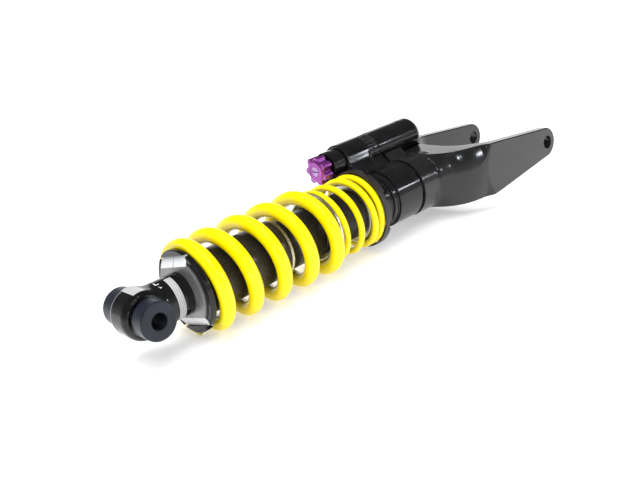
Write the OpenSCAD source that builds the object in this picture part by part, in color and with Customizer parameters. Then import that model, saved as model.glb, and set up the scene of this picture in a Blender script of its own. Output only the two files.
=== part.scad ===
// Coilover with a split retainer, two springs in series, a side reservoir and a fork end.
// +X runs along the damper from the eye to the fork, bolts run along Y, Z is up.
// Origin: centre of the eye bore. Units: millimetres.

/* [Overall] */
// Node to draw
// Eye bore centre to fork bore centre, fully extended
eye_to_fork = 502; // [470:1:560]
// Damper stroke
stroke = 52; // [20:1:52]
// Bolt bore diameter at both ends
bolt_d = 14; // [10:0.5:16]

/* [Springs] */
// Main spring inside diameter
spring_bore = 60.5; // [57:0.5:74]
// Main spring wire diameter
wire_d = 13.5; // [9:0.25:16.5]
// Main spring length as fitted
main_length = 146; // [120:0.5:190]
// Main spring total turns
main_turns = 5.25; // [5:0.25:8]
// Helper spring wire diameter
helper_wire = 6.2; // [4:0.2:6.6]
// Helper spring length as fitted
helper_length = 55.2; // [36:0.1:72]
// Helper spring total turns
helper_turns = 4.2; // [3:0.1:5]

/* [Damper] */
// Damper tube outside diameter
tube_d = 48; // [44:1:50]
// Damper tube wall
tube_wall = 4; // [2.5:0.5:6]
// Piston rod diameter
rod_d = 16; // [12:0.5:20]
// Gap between the dust tube and the damper tube
dust_gap = 1.2; // [0.5:0.1:1.6]
// Dust tube wall
dust_wall = 1.5; // [1:0.1:1.8]
// Bump stop length
bump_length = 16; // [8:1:22]

/* [Eye end] */
// Drum diameter
drum_d = 42; // [40:0.5:52]
// Drum width
drum_w = 30; // [26:1:36]
// Neck diameter
neck_d = 38; // [32:0.5:40]
// Width over the two eye spacers
eye_width = 61; // [50:1:76]
// Eye spacer outside diameter
spacer_d = 33; // [28:0.5:38]
// Eye centre to the face the main spring rests on
perch_x = 48.8; // [46:0.5:60]
// Reach of the perch flange past the main spring's bore
perch_lip = 7.25; // [6:0.25:12]
// Perch flange thickness
perch_t = 5.4; // [4.5:0.1:8]
// Retainer disc diameter
retainer_d = 62.6; // [54:0.2:64]
// Turn of the retainer flats about the damper axis
retainer_turn = 13; // [0:1:45]

/* [Adjuster] */
// Wall of the collar round the end of the helper spring
collar_rim = 1.75; // [1:0.05:3]
// Collar width
collar_w = 7.6; // [6.6:0.2:10]
// Depth the spring seat lies inside the collar
seat_sink = 1.6; // [0.6:0.1:2.4]
// Spanner notches round the collar
collar_notches = 8; // [6:1:12]
// Travel of the collar towards the head
collar_back = 4; // [2:0.5:8]

/* [Head] */
// Head diameter
head_d = 60; // [56:0.5:64]
// Length of the full-diameter part of the head
head_length = 32.5; // [28:0.5:45]
// Fork lock ring width
lock_w = 3; // [2:0.5:6]

/* [Fork] */
// Gap between the fork arms
fork_gap = 91; // [70:1:100]
// Fork arm thickness
arm_t = 11.2; // [8:0.2:14]
// Half height of the fork at the crotch
fork_h = 29; // [24:0.5:30]
// Half height of the arm tips
tip_h = 16.3; // [13:0.1:18]
// Fork bore centre to the end of the arms
tip_end = 14.5; // [13:0.5:20]
// Corner radius of the crotch
crotch_r = 40; // [20:1:42]

/* [Reservoir] */
// Reservoir outside diameter
res_d = 36; // [32:0.5:38]
// Reservoir wall
res_wall = 5; // [3:0.5:6]
// Gap between the collar and the adjuster barrel
res_gap = 0.7; // [0.5:0.1:11]
// Adjuster barrel diameter
barrel_d = 30; // [26:0.5:30]
// Angle of the reservoir above the bolt axis
res_angle = 46; // [30:1:90]
// Length of the plain part of the reservoir
res_length = 64; // [30:1:66]
// Width of the knurled band
knurl_w = 13.8; // [8:0.2:20]
// Lobes on the compression knob
knob_lobes = 7; // [5:1:9]
// Compression knob diameter
knob_d = 30.4; // [24:0.2:30.6]

/* [Hidden] */
$fn = 64;
rest = 0.2;
air = 0.4;
snug = 0.05;
e = 1;

spring_r = spring_bore / 2 + wire_d / 2;
outer_r = spring_bore / 2 + wire_d;
helper_r = spring_bore / 2 + helper_wire / 2 + 0.6;
helper_out = helper_r + helper_wire / 2;
recess_r = helper_out + 0.5;
collar_d = 2 * (recess_r + collar_rim);
perch_d = spring_bore + 2 * perch_lip;
res_offset = collar_d / 2 + res_gap + barrel_d / 2;
pilot_r = spring_bore / 2 - 0.9;
tube_r = tube_d / 2;
bore_r = tube_r - tube_wall;
rod_r = rod_d / 2;
dust_in = tube_r + dust_gap;
dust_out = dust_in + dust_wall;
neck_r = neck_d / 2;
head_r = head_d / 2;
res_r = res_d / 2;
res_in = res_r - res_wall;

main_x0 = perch_x + rest;
main_x1 = main_x0 + main_length;
flange_x0 = main_x1 + rest;
flange_x1 = flange_x0 + 2;
help_x0 = flange_x1 + rest;
help_x1 = help_x0 + helper_length;
seat_x0 = help_x1 + rest;
seat_t = 1.2;
washer_x0 = seat_x0 + seat_t + 0.1;
washer_t = 0.9;
collar_x0 = seat_x0 - seat_sink;
floor_x = washer_x0 + washer_t + air;
collar_x1 = collar_x0 + collar_w;
neck_x0 = collar_x1 + collar_back + 0.1;
head_x0 = neck_x0 + 21;
head_x1 = head_x0 + head_length;
lock_x0 = head_x1 + 0.2;
lock_x1 = lock_x0 + lock_w;
fork_x0 = lock_x1 + 0.2;
spigot_r = tube_r - 2;
spigot_x1 = fork_x0 + 20.5;
crotch_x = spigot_x1 + 38;
arm_out = fork_gap / 2 + arm_t;
tip_x = eye_to_fork + tip_end - tip_h;

tube_x1 = head_x0 + 6;
gland_x = perch_x + 13.2 + bump_length + stroke + 2;
bump_x0 = perch_x + 13.2;
ring_x0 = gland_x + 9;
piston_x0 = gland_x + 26;
piston_t = 12;
cavity_x1 = tube_x1 + 10;

res_y = res_offset * cos(res_angle);
res_z = res_offset * sin(res_angle);
res_x0 = neck_x0 + 6.5;
res_x1 = head_x0 + 18;
band_x1 = res_x1 + knurl_w + 0.4;
resend_x = band_x1 + res_length;
float_ratio = rod_r * rod_r / (res_in * res_in);
float_x0 = band_x1 + 8;
knob_x0 = neck_x0 - 25;
knob_t = 12.4;

// ---- shared shapes ----

// Turned part about the damper axis from [radius, station] points
module turned(pts) rotate([0, 90, 0]) rotate_extrude() polygon(pts);

// Plain ring about the damper axis
module ring_x(x0, x1, ro, ri)
    turned([[ri, x0], [ro, x0], [ro, x1], [ri, x1]]);

// Solid bar about the damper axis
module bar_x(x0, x1, r) translate([x0, 0, 0]) rotate([0, 90, 0]) cylinder(h = x1 - x0, r = r);

// Place a child on the reservoir axis
module on_reservoir() translate([0, res_y, res_z]) children();

// Cylinder along the bolt axis
module bar_y(y0, y1, r) translate([0, y1, 0]) rotate([90, 0, 0]) cylinder(h = y1 - y0, r = r);

// Two-sided ramp: slope 0 before -b, slope 1 after b
function ease(u, b) = u < -b ? 0 : u < b ? (u + b) * (u + b) / (4 * b) : u;

// Station of the wire centre after t turns of a spring with closed ends
function coil_x(t, turns, length, d, c0, c1, pc) =
    -0.12 * d + pc * t
    + (length + 0.24 * d - pc * turns) / (turns - c0 - c1)
    * (ease(t - c0, 0.3) - ease(t - turns + c1, 0.3));

// Coil spring with closed ground ends, swept as a mesh
module coil(x0, length, r, d, turns, c0, c1, start, per_turn, sides) {
    n = turns * per_turn;
    pc = 1.08 * d;
    pts = [for (i = [0:n]) let (t = i / per_turn, a = start + 360 * t,
            xc = coil_x(t, turns, length, d, c0, c1, pc))
        for (j = [0:sides - 1]) let (b = 360 * j / sides, q = r + d / 2 * cos(b),
            x = x0 + min(length, max(0, xc + d / 2 * sin(b))))
        [x, q * cos(a), q * sin(a)]];
    faces = [for (i = [0:n - 1]) for (j = [0:sides - 1])
        let (k = (j + 1) % sides, p = i * sides, s = p + sides)
        for (f = [[p + j, p + k, s + j], [p + k, s + k, s + j]]) f];
    u = round(sides / 4);
    v = round(sides * 3 / 4);
    cap0 = [for (j = [1:sides - 2]) [u, (u + j + 1) % sides, (u + j) % sides]];
    cap1 = [for (j = [1:sides - 2]) let (w = n * sides)
        [w + v, w + (v + j) % sides, w + (v + j + 1) % sides]];
    polyhedron(points = pts, faces = concat(faces, cap0, cap1), convexity = 10);
}

// Rounded drum profile turned about the bolt axis
module drum(r, w, f) rotate([90, 0, 0]) rotate_extrude() {
    translate([0, -w]) square([r - f, 2 * w]);
    translate([0, -w + f]) square([r, 2 * (w - f)]);
    for (s = [-1, 1]) difference() {
        translate([r - f, s * (w - f)]) circle(r = f);
        translate([-2 * r, -2 * w]) square([2 * r, 4 * w]);
    }
}

// ---- rod side ----

race_w = 6.5;
ball_r = 14;
ball_w = 9.5;
race_r = 17;
shoulder_r = 9.45;
groove_x0 = perch_x - perch_t - 1.9;
groove_x1 = perch_x - 1.8;

module rod_eye() color([0.03, 0.03, 0.035]) difference() {
    union() {
        drum(drum_d / 2, drum_w / 2, 8);
        turned([[0, 4], [drum_w / 2 - 1, 4], [neck_r, 17], [neck_r, groove_x0 - 0.1],
            [neck_r - 2.4, groove_x0 - 0.1], [neck_r - 2.4, groove_x1 + 0.1],
            [neck_r, groove_x1 + 0.1], [neck_r, perch_x + 10], [0, perch_x + 10]]);
    }
    bar_y(-drum_w, drum_w, race_r + snug);
    for (s = [-1, 1]) translate([0, s * (race_w + 0.85), 0])
        bar_y(-0.7, 0.7, race_r + 1);
    for (s = [-1, 1]) translate([0, s * (drum_w / 2 + 10), 0])
        bar_y(-10, 10, spacer_d / 2 + 1.7);
    bar_x(28, perch_x + 10 + e, rod_r + snug);
    translate([22, 0, -neck_r - e]) cylinder(h = 8 + e, r = 3.05);
}

module eye_race() color([0.55, 0.55, 0.57]) rotate([90, 0, 0]) rotate_extrude() difference() {
    translate([0, -race_w]) square([race_r, 2 * race_w]);
    circle(r = ball_r + snug);
}

module eye_ball() color([0.75, 0.75, 0.77]) rotate([90, 0, 0]) rotate_extrude()
    intersection() {
        circle(r = ball_r);
        translate([shoulder_r + snug, -ball_w]) square([ball_r, 2 * ball_w]);
    }

module eye_spacer(s) color([0.12, 0.14, 0.2]) difference() {
    union() {
        bar_y(s > 0 ? drum_w / 2 + 1.4 : -eye_width / 2,
              s > 0 ? eye_width / 2 : -drum_w / 2 - 1.4, spacer_d / 2);
        bar_y(s > 0 ? 0.6 : -drum_w / 2 - 2, s > 0 ? drum_w / 2 + 2 : -0.6, shoulder_r);
    }
    bar_y(-eye_width, eye_width, bolt_d / 2);
}
module eye_spacer_near() eye_spacer(-1);
module eye_spacer_far() eye_spacer(1);

module eye_circlip(s) color([0.3, 0.3, 0.3]) difference() {
    translate([0, s * (race_w + 0.85), 0]) bar_y(-0.6, 0.6, race_r + 0.9);
    bar_y(-drum_w, drum_w, race_r - 2.4);
    translate([-4, -drum_w, -race_r - 3]) cube([8, 2 * drum_w, race_r - 6]);
}
module eye_circlip_near() eye_circlip(-1);
module eye_circlip_far() eye_circlip(1);

module neck_label() color([0.92, 0.92, 0.9]) intersection() {
    ring_x(25.8, 32.4, neck_r + 0.25, neck_r + 0.02);
    translate([20, -2 * neck_r, -2 * neck_r]) cube([30, 2.4 * neck_r, 4 * neck_r]);
}

module eye_label() color([0.92, 0.92, 0.9]) intersection() {
    difference() {
        bar_y(-9.8, 9.6, drum_d / 2 + 0.25);
        bar_y(-drum_w, drum_w, drum_d / 2 + 0.02);
    }
    translate([-5.9, -drum_w, 0]) cube([11.4, 2 * drum_w, drum_d]);
}

// Wedge-shaped lugs of the retainer, and the pockets they sit in
module lug(g) for (s = [0, 180]) rotate([retainer_turn * -1 + s, 0, 0])
    translate([groove_x0 - g, -21.5 - g, 0])
        cube([perch_t - 0.1 + 2 * g, 43 + 2 * g, retainer_d / 2 + g]);

module retainer_disc() difference() {
    union() {
        bar_x(groove_x0, groove_x1, retainer_d / 2);
        lug(0);
    }
    bar_x(0, 3 * perch_x, neck_r - 2.3);
    for (s = [0, 180]) rotate([-retainer_turn + s, 0, 0])
        translate([groove_x0, -40, 22.6]) rotate([0, 29, 0])
            translate([-30, 0, 0]) cube([30, 80, 40]);
}

module retainer_half(s) color([0.78, 0.78, 0.78]) intersection() {
    retainer_disc();
    rotate([-retainer_turn, 0, 0])
        translate([0, s > 0 ? 0.08 : -retainer_d - 0.08, -retainer_d])
            cube([100, retainer_d, 2 * retainer_d]);
}
module retainer_a() retainer_half(-1);
module retainer_b() retainer_half(1);

module spring_perch() color([0.03, 0.03, 0.03]) difference() {
    turned([[neck_r + 0.1, perch_x - perch_t], [perch_d / 2 - 1, perch_x - perch_t],
        [perch_d / 2, perch_x - perch_t + 1], [perch_d / 2, perch_x],
        [pilot_r, perch_x], [pilot_r, perch_x + 3], [dust_in - snug, perch_x + 3],
        [dust_in - snug, perch_x + 13], [neck_r + 0.1, perch_x + 13]]);
    bar_x(0, groove_x1 + 0.1, retainer_d / 2 + 0.1);
    lug(0.1);
    rotate([138, 0, 0]) translate([perch_x - perch_t - e, perch_d / 2 - 2.5, -3.5])
        cube([4 + e, 6, 7]);
}

module dust_tube() color([0.06, 0.06, 0.065])
    ring_x(perch_x + 3.2, ring_x0, dust_out, dust_in);

module dust_tube_ring() color([0.75, 0.75, 0.75])
    ring_x(ring_x0 + 0.05, ring_x0 + 3, dust_out + 0.4, dust_in);

module piston_rod() color([0.8, 0.8, 0.82]) turned([[0, 28.5], [rod_r, 28.5],
    [rod_r, piston_x0 - 3], [5, piston_x0 - 3], [5, piston_x0 + piston_t + 10],
    [0, piston_x0 + piston_t + 10]]);

module bump_stop() color([0.75, 0.72, 0.2]) turned([[rod_r + 0.3, bump_x0],
    [rod_r + 7, bump_x0], [rod_r + 7, bump_x0 + 4], [rod_r + 5, bump_x0 + 6],
    [rod_r + 6, bump_x0 + 9], [rod_r + 3, bump_x0 + bump_length],
    [rod_r + 0.3, bump_x0 + bump_length]]);

module rebound_screw() color([0.8, 0.62, 0.2]) translate([22, 0, -neck_r - 1.5])
    difference() {
        cylinder(h = 8, r = 3);
        translate([-3.5, -0.5, -e]) cube([7, 1, 1.2 + e]);
    }

module piston() color([0.6, 0.55, 0.4]) difference() {
    turned([[5 + snug, piston_x0], [bore_r - 0.5, piston_x0], [bore_r - 0.5, piston_x0 + 2.9],
        [bore_r - 2, piston_x0 + 2.9], [bore_r - 2, piston_x0 + 9.1],
        [bore_r - 0.5, piston_x0 + 9.1], [bore_r - 0.5, piston_x0 + piston_t],
        [5 + snug, piston_x0 + piston_t]]);
    for (a = [0:60:300]) rotate([a, 0, 0]) translate([piston_x0 - e, 0, 11])
        rotate([0, 90, 0]) cylinder(h = piston_t + 2 * e, r = 2.2);
}

module piston_band() color([0.2, 0.12, 0.08])
    ring_x(piston_x0 + 3, piston_x0 + 9, bore_r - 0.04, bore_r - 1.95);

// Stack of four shims, widest against the piston
module shims(x0, dir) for (i = [0:3])
    turned([[5 + snug, x0 + dir * 0.5 * i], [14 - 2 * i, x0 + dir * 0.5 * i],
        [14 - 2 * i, x0 + dir * 0.5 * (i + 1)], [5 + snug, x0 + dir * 0.5 * (i + 1)]]);
module compression_shims() color([0.5, 0.5, 0.52]) shims(piston_x0 - 0.05, -1);
module rebound_shims() color([0.5, 0.5, 0.52]) shims(piston_x0 + piston_t + 0.05, 1);

module piston_nut() color([0.45, 0.45, 0.47]) difference() {
    translate([piston_x0 + piston_t + 2.2, 0, 0]) rotate([0, 90, 0])
        cylinder(h = 6, r = 9.2, $fn = 6);
    bar_x(0, 400, 5 + snug);
}

// ---- springs and adjuster ----

module main_spring() color([0.95, 0.8, 0.02])
    coil(main_x0, main_length, spring_r, wire_d, main_turns, 0.85, 0.3, -90, 32, 12);

module helper_spring() color([0.95, 0.8, 0.02])
    coil(help_x0, helper_length, helper_r, helper_wire, helper_turns, 0.6, 1.35, -62, 30, 10);

module spring_spacer() color([0.75, 0.75, 0.76]) turned([
    [tube_r + air, flange_x1 + 1.4], [dust_out + 0.9, flange_x1 + 1.4],
    [dust_out + 0.9, flange_x0 - 7], [pilot_r, flange_x0 - 7], [pilot_r, flange_x0],
    [helper_r + 1.4, flange_x0], [helper_r + 1.4, flange_x1], [pilot_r, flange_x1],
    [pilot_r, flange_x1 + 7], [tube_r + air, flange_x1 + 7]]);

module spring_seat() color([0.78, 0.78, 0.79]) turned([
    [tube_r + air, seat_x0 - 14], [pilot_r - 0.2, seat_x0 - 14], [pilot_r - 0.2, seat_x0],
    [helper_r + helper_wire / 4, seat_x0], [helper_r + helper_wire / 4, seat_x0 + seat_t],
    [tube_r + air, seat_x0 + seat_t]]);

module thrust_washer() color([0.85, 0.83, 0.75])
    ring_x(washer_x0, washer_x0 + washer_t, helper_r, tube_r + 1.5);

module adjuster_collar() color([0.1, 0.08, 0.07]) difference() {
    turned([[tube_r + air, floor_x], [recess_r, floor_x], [recess_r, collar_x0],
        [collar_d / 2 - 0.6, collar_x0],
        [collar_d / 2, collar_x0 + 0.6], [collar_d / 2, collar_x1 - 0.8],
        [collar_d / 2 - 0.8, collar_x1], [tube_r + air, collar_x1]]);
    for (i = [0:collar_notches - 1]) rotate([i * 360 / collar_notches + 20, 0, 0])
        translate([floor_x + 0.5, -4, collar_d / 2 - 2.6]) cube([collar_w, 8, 5]);
    rotate([200 + 180 / collar_notches, 0, 0])
        translate([(floor_x + collar_x1) / 2, 0, tube_r + 1.6]) cylinder(h = 30, r = 1.25);
}

module collar_screw() color([0.4, 0.4, 0.42]) rotate([200 + 180 / collar_notches, 0, 0])
    translate([(floor_x + collar_x1) / 2, 0, tube_r + 2]) difference() {
        cylinder(h = collar_d / 2 - tube_r - 3, r = 1.2);
        translate([0, 0, collar_d / 2 - tube_r - 4.2]) cylinder(h = 3, r = 0.7, $fn = 6);
    }

// ---- body side ----

module damper_tube() color([0.05, 0.05, 0.055]) ring_x(gland_x, tube_x1, tube_r, bore_r);

module rod_guide() color([0.5, 0.52, 0.55])
    ring_x(gland_x + 8, gland_x + 22, bore_r - snug, rod_r + 0.04);

module rod_seal() color([0.12, 0.12, 0.12])
    ring_x(gland_x + 3.2, gland_x + 7.8, bore_r - snug, rod_r + 0.04);

module wiper_cap() color([0.3, 0.3, 0.32])
    ring_x(gland_x + 0.2, gland_x + 3, bore_r - snug, rod_r + 0.3);

module body_housing() color([0.02, 0.02, 0.022]) difference() {
    union() {
        turned([[0, neck_x0], [tube_r + 1, neck_x0], [tube_r + 1, neck_x0 + 12],
            [head_r - 2.4, neck_x0 + 16], [head_r - 2.4, head_x0 - 1.4], [head_r, head_x0],
            [head_r, head_x1 - 0.6], [head_r - 0.6, head_x1], [spigot_r, head_x1],
            [spigot_r, spigot_x1], [0, spigot_x1]]);
        on_reservoir() turned([[0, res_x0], [res_r - 3, res_x0], [res_r, res_x0 + 3],
            [res_r, res_x1 - 0.4], [res_r - 0.4, res_x1], [0, res_x1]]);
        rotate([res_angle, 0, 0]) translate([neck_x0 + 7, 0, -13])
            cube([res_x1 - neck_x0 - 9, res_offset, 26]);
        rotate([res_angle, 0, 0]) translate([res_x1 - 3, 0, -11])
            cube([head_x1 - res_x1 + 2.8, res_offset - 11, 22]);
    }
    on_reservoir() bar_x(res_x1, head_x1 + e, res_r + air);
    bar_x(neck_x0 - e, tube_x1 + 0.2, tube_r + snug);
    bar_x(tube_x1, cavity_x1, bore_r - 1);
    on_reservoir() bar_x(res_x0 - e, res_x0 + 20, res_in - 1);
    on_reservoir() bar_x(res_x0 + 19, res_x1 + e, res_in + 2.05);
    oil_way();
}

// Oil way from the damper to the reservoir
module oil_way() rotate([res_angle, 0, 0]) translate([tube_x1 + 4.5, 10, 0])
    rotate([-90, 0, 0]) cylinder(h = res_offset - 10 - res_in / 2, r = 3.5);

module lock_ring() color([0.02, 0.02, 0.02]) difference() {
    ring_x(lock_x0, lock_x1, head_r - 1.6, spigot_r + snug);
    for (i = [0:7]) rotate([i * 45 + 10, 0, 0])
        translate([lock_x0 - e, -2.5, head_r - 3]) cube([lock_w + 2 * e, 5, 4]);
}

// Outline of the fork seen along the bolts
module fork_side() {
    polygon([[fork_x0 + 20, fork_h], [crotch_x + 15, fork_h],
        [tip_x, tip_h], [tip_x, -tip_h], [crotch_x + 15, -fork_h],
        [fork_x0 + 20, -fork_h]]);
    translate([tip_x, 0]) circle(r = tip_h);
}

// Bell that opens out from the sleeve to the arms
module bell() turned([[0, fork_x0 + 10], [head_r, fork_x0 + 10], [head_r, crotch_x - 36],
    [head_r + 1.2, crotch_x - 34], [head_r + 4.2, crotch_x - 31],
    [head_r + 8, crotch_x - 28], [head_r + 12.8, crotch_x - 24],
    [head_r + 17.5, crotch_x - 18], [arm_out - 5.7, crotch_x - 12],
    [arm_out - 3.1, crotch_x - 6], [arm_out - 1.3, crotch_x], [arm_out, crotch_x + 6],
    [arm_out + 0.9, crotch_x + 11], [arm_out + 2.8, crotch_x + 15],
    [arm_out + 5.2, crotch_x + 19], [arm_out + 8, crotch_x + 24],
    [arm_out + 8, eye_to_fork + 2 * tip_h], [0, eye_to_fork + 2 * tip_h]]);

module fork() color([0.05, 0.05, 0.055]) difference() {
    union() {
        turned([[0, fork_x0], [head_r - 0.6, fork_x0], [head_r, fork_x0 + 0.6],
            [head_r, fork_x0 + 34], [head_r - 5, fork_x0 + 44], [0, fork_x0 + 44]]);
        intersection() {
            rotate([90, 0, 0]) translate([0, 0, -arm_out])
                linear_extrude(height = 2 * arm_out) fork_side();
            bell();
        }
        rotate([res_angle, 0, 0]) translate([fork_x0 + 0.2, 0, -11])
            cube([25, res_offset - 13, 22]);
    }
    bar_x(fork_x0 - e, spigot_x1 + 0.5, spigot_r + snug);
    translate([0, 0, -2 * fork_h]) linear_extrude(height = 4 * fork_h) crotch();
    translate([eye_to_fork, 0, 0]) bar_y(-2 * arm_out, 2 * arm_out, bolt_d / 2);
    on_reservoir() bar_x(res_x1, resend_x + 2, res_r + 1);
}

// Gap between the arms
module crotch() {
    g = fork_gap / 2;
    translate([crotch_x + crotch_r, -g]) square([eye_to_fork, 2 * g]);
    for (s = [-1, 1]) translate([crotch_x + crotch_r, s * (g - crotch_r)]) circle(r = crotch_r);
    translate([crotch_x, crotch_r - g]) square([crotch_r, 2 * (g - crotch_r)]);
}

module reservoir_tube() color([0.03, 0.03, 0.035]) difference() {
    on_reservoir() turned([
        [res_in, res_x0 + 20], [res_in + 2, res_x0 + 20], [res_in + 2, res_x1 + 0.1],
        [res_r - 2, res_x1 + 0.1], [res_r - 2, band_x1], [res_r - 0.6, band_x1],
        [res_r, band_x1 + 0.6], [res_r, resend_x - 4], [res_r - 0.9, resend_x - 1.2],
        [res_r - 1.5, resend_x - 0.4], [res_in + 1, resend_x - 0.4],
        [res_in + 1, resend_x - 7], [res_in, resend_x - 7]]);
    oil_way();
}

module knurled_band() color([0.04, 0.04, 0.045]) on_reservoir() difference() {
    ring_x(res_x1 + 0.3, band_x1 - 0.1, res_r - 0.3, res_r - 2 + snug);
    for (i = [0:23]) rotate([i * 15, 0, 0])
        translate([res_x1 - e, res_r + 0.1, 0]) rotate([0, 90, 0])
            cylinder(h = knurl_w + 3 * e, r = 0.9, $fn = 24);
}

module reservoir_cap() color([0.04, 0.04, 0.045]) on_reservoir() difference() {
    turned([[0, resend_x - 6.8], [res_in + 1 - snug, resend_x - 6.8],
        [res_in + 1 - snug, resend_x - 1], [res_in, resend_x], [0, resend_x]]);
    bar_x(resend_x - 5, resend_x + e, 6.5);
    bar_x(resend_x - 8, resend_x, 2.55);
}

module gas_valve() color([0.78, 0.65, 0.3]) on_reservoir() turned([
    [0.8, resend_x - 6.8], [2.5, resend_x - 6.8], [2.5, resend_x - 4.9],
    [4, resend_x - 4.9], [4, resend_x - 3.9], [2.4, resend_x - 3.9],
    [2.4, resend_x - 1.6], [0.8, resend_x - 1.6]]);

module valve_cap() color([0.05, 0.05, 0.05]) on_reservoir() turned([
    [0, resend_x - 1.4], [2.6, resend_x - 1.4], [2.6, resend_x - 3.7],
    [4.4, resend_x - 3.7], [4.4, resend_x - 0.8], [3.8, resend_x - 0.2],
    [0, resend_x - 0.2]]);

module floating_piston() color([0.6, 0.6, 0.62]) on_reservoir() turned([
    [0, float_x0], [res_in - 0.04, float_x0], [res_in - 0.04, float_x0 + 4],
    [res_in - 2, float_x0 + 4], [res_in - 2, float_x0 + 7], [res_in - 0.04, float_x0 + 7],
    [res_in - 0.04, float_x0 + 11], [res_in - 4, float_x0 + 11], [res_in - 4, float_x0 + 5],
    [0, float_x0 + 5]]);

module floating_oring() color([0.08, 0.08, 0.08]) on_reservoir()
    translate([float_x0 + 5.5, 0, 0]) rotate([0, 90, 0])
        rotate_extrude() translate([res_in - 1.02, 0]) circle(r = 0.95);

module adjuster_body() color([0.03, 0.03, 0.035]) on_reservoir() difference() {
    turned([[0, knob_x0 + knob_t + 1], [9, knob_x0 + knob_t + 1],
        [9, knob_x0 + knob_t + 2.5], [barrel_d / 2, knob_x0 + knob_t + 2.5],
        [barrel_d / 2, res_x0 - 0.1], [res_in - 1 - snug, res_x0 - 0.1],
        [res_in - 1 - snug, res_x0 + 18], [0, res_x0 + 18]]);
    bar_x(knob_x0, res_x0 + 6, 4.05);
    bar_x(res_x0 + 5, res_x0 + 30, 7);
}

module compression_knob() color([0.42, 0.12, 0.5]) on_reservoir() difference() {
    union() {
        turned([[0, knob_x0 + 1], [9.3, knob_x0], [10.2, knob_x0 + 0.8], [11, knob_x0 + 3],
            [11.4, knob_x0 + knob_t], [4, knob_x0 + knob_t], [4, knob_x0 + knob_t + 12],
            [0, knob_x0 + knob_t + 12]]);
        for (i = [0:knob_lobes - 1]) rotate([i * 360 / knob_lobes + 10, 0, 0])
            translate([knob_x0 + 1.6, knob_d / 2 - 4, 0]) rotate([0, 90, 0])
                cylinder(h = knob_t - 1.6, r = 4);
    }
    bar_x(knob_x0 - e, knob_x0 + 3.5, 5.05);
}

module knob_screw() color([0.55, 0.5, 0.6]) on_reservoir() difference() {
    bar_x(knob_x0 + 0.4, knob_x0 + 3.4, 5);
    translate([knob_x0 - e, -6, -0.7]) cube([e + 1.6, 12, 1.4]);
}

// ---- draw ----
rod_eye();
eye_race();
eye_ball();
eye_spacer_near();
eye_spacer_far();
eye_circlip_near();
eye_circlip_far();
neck_label();
eye_label();
retainer_a();
retainer_b();
spring_perch();
dust_tube();
dust_tube_ring();
piston_rod();
bump_stop();
rebound_screw();
piston();
piston_band();
compression_shims();
rebound_shims();
piston_nut();
main_spring();
helper_spring();
spring_spacer();
spring_seat();
thrust_washer();
adjuster_collar();
collar_screw();
damper_tube();
rod_guide();
rod_seal();
wiper_cap();
body_housing();
lock_ring();
fork();
reservoir_tube();
knurled_band();
reservoir_cap();
gas_valve();
valve_cap();
floating_piston();
floating_oring();
adjuster_body();
compression_knob();
knob_screw();
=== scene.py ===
"""Coilover with two springs in series, a side reservoir and a fork end.

Lengths in the modelling code are millimetres in the row frame: +X from the eye to the
fork, bolts along Y, Z up. Meshes are written in metres.
"""
import math

import bpy
import numpy as np
from mathutils import Matrix, Vector


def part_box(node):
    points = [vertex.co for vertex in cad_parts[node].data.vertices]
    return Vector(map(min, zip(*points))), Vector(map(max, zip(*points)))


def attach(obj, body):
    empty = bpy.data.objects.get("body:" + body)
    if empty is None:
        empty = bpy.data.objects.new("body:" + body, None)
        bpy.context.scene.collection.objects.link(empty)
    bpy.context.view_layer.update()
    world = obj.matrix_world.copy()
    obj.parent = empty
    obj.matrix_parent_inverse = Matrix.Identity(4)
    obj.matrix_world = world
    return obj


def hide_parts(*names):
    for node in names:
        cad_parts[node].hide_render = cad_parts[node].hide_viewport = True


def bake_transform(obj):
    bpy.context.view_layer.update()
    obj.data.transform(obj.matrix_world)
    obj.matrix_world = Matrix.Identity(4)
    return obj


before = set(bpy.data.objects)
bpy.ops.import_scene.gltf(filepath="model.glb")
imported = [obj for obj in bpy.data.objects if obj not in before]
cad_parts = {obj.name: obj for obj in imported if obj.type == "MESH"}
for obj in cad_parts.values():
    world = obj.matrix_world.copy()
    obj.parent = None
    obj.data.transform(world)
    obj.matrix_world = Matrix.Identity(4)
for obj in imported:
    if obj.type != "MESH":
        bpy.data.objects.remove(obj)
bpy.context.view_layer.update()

MM = 0.001
TAU = 2 * math.pi


def span(node):
    """Lowest and highest corner of a CAD node in millimetres."""
    lo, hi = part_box(node)
    return np.array(lo) / MM, np.array(hi) / MM


# ------------------------------------------------------------------ sizes from the frame
eye_lo, eye_hi = span("rod_eye")
DRUM_R = -eye_lo[0]
NECK_END = eye_hi[0]
SPACER_LO, SPACER_HI = span("eye_spacer_near")
SPACER_R = SPACER_HI[0]
SPACER_OUT = -SPACER_LO[1]
PERCH_LO, PERCH_HI = span("spring_perch")
MAIN_LO, MAIN_HI = span("main_spring")
HELP_LO, HELP_HI = span("helper_spring")
DUST_LO, DUST_HI = span("dust_tube")
TUBE_LO, TUBE_HI = span("damper_tube")
COLLAR_LO, COLLAR_HI = span("adjuster_collar")
HOUSE_LO, HOUSE_HI = span("body_housing")
LOCK_LO, LOCK_HI = span("lock_ring")
FORK_LO, FORK_HI = span("fork")
RES_LO, RES_HI = span("reservoir_tube")
BAND_LO, BAND_HI = span("knurled_band")
KNOB_LO, KNOB_HI = span("compression_knob")

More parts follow.
